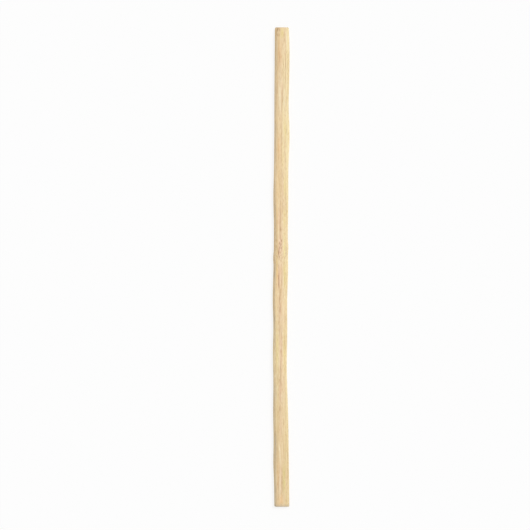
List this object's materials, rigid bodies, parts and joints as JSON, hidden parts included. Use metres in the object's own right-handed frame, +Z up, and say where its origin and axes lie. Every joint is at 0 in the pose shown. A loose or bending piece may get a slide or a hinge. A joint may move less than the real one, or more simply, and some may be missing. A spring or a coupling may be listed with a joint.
{
  "type": "drink stirrer",
  "caption": "Slim flat bamboo strip for stirring a hot drink, square at both ends, with worn round edges, a slight bow and a low culm node across its middle.",
  "frame": {"origin": "middle of the strip's footprint, on the surface it lies on", "axes": "+Y along the strip towards the chipped end, +X across it, +Z up out of the upper face"},
  "size_m": [0.0064, 0.178, 0.0019],
  "materials": {
    "bamboo": "bare planed bamboo, pale straw, matt with a faint sheen along the grain"
  },
  "bodies": {
    "root": {"stirrer": "bamboo"}
  },
  "joints": []
}
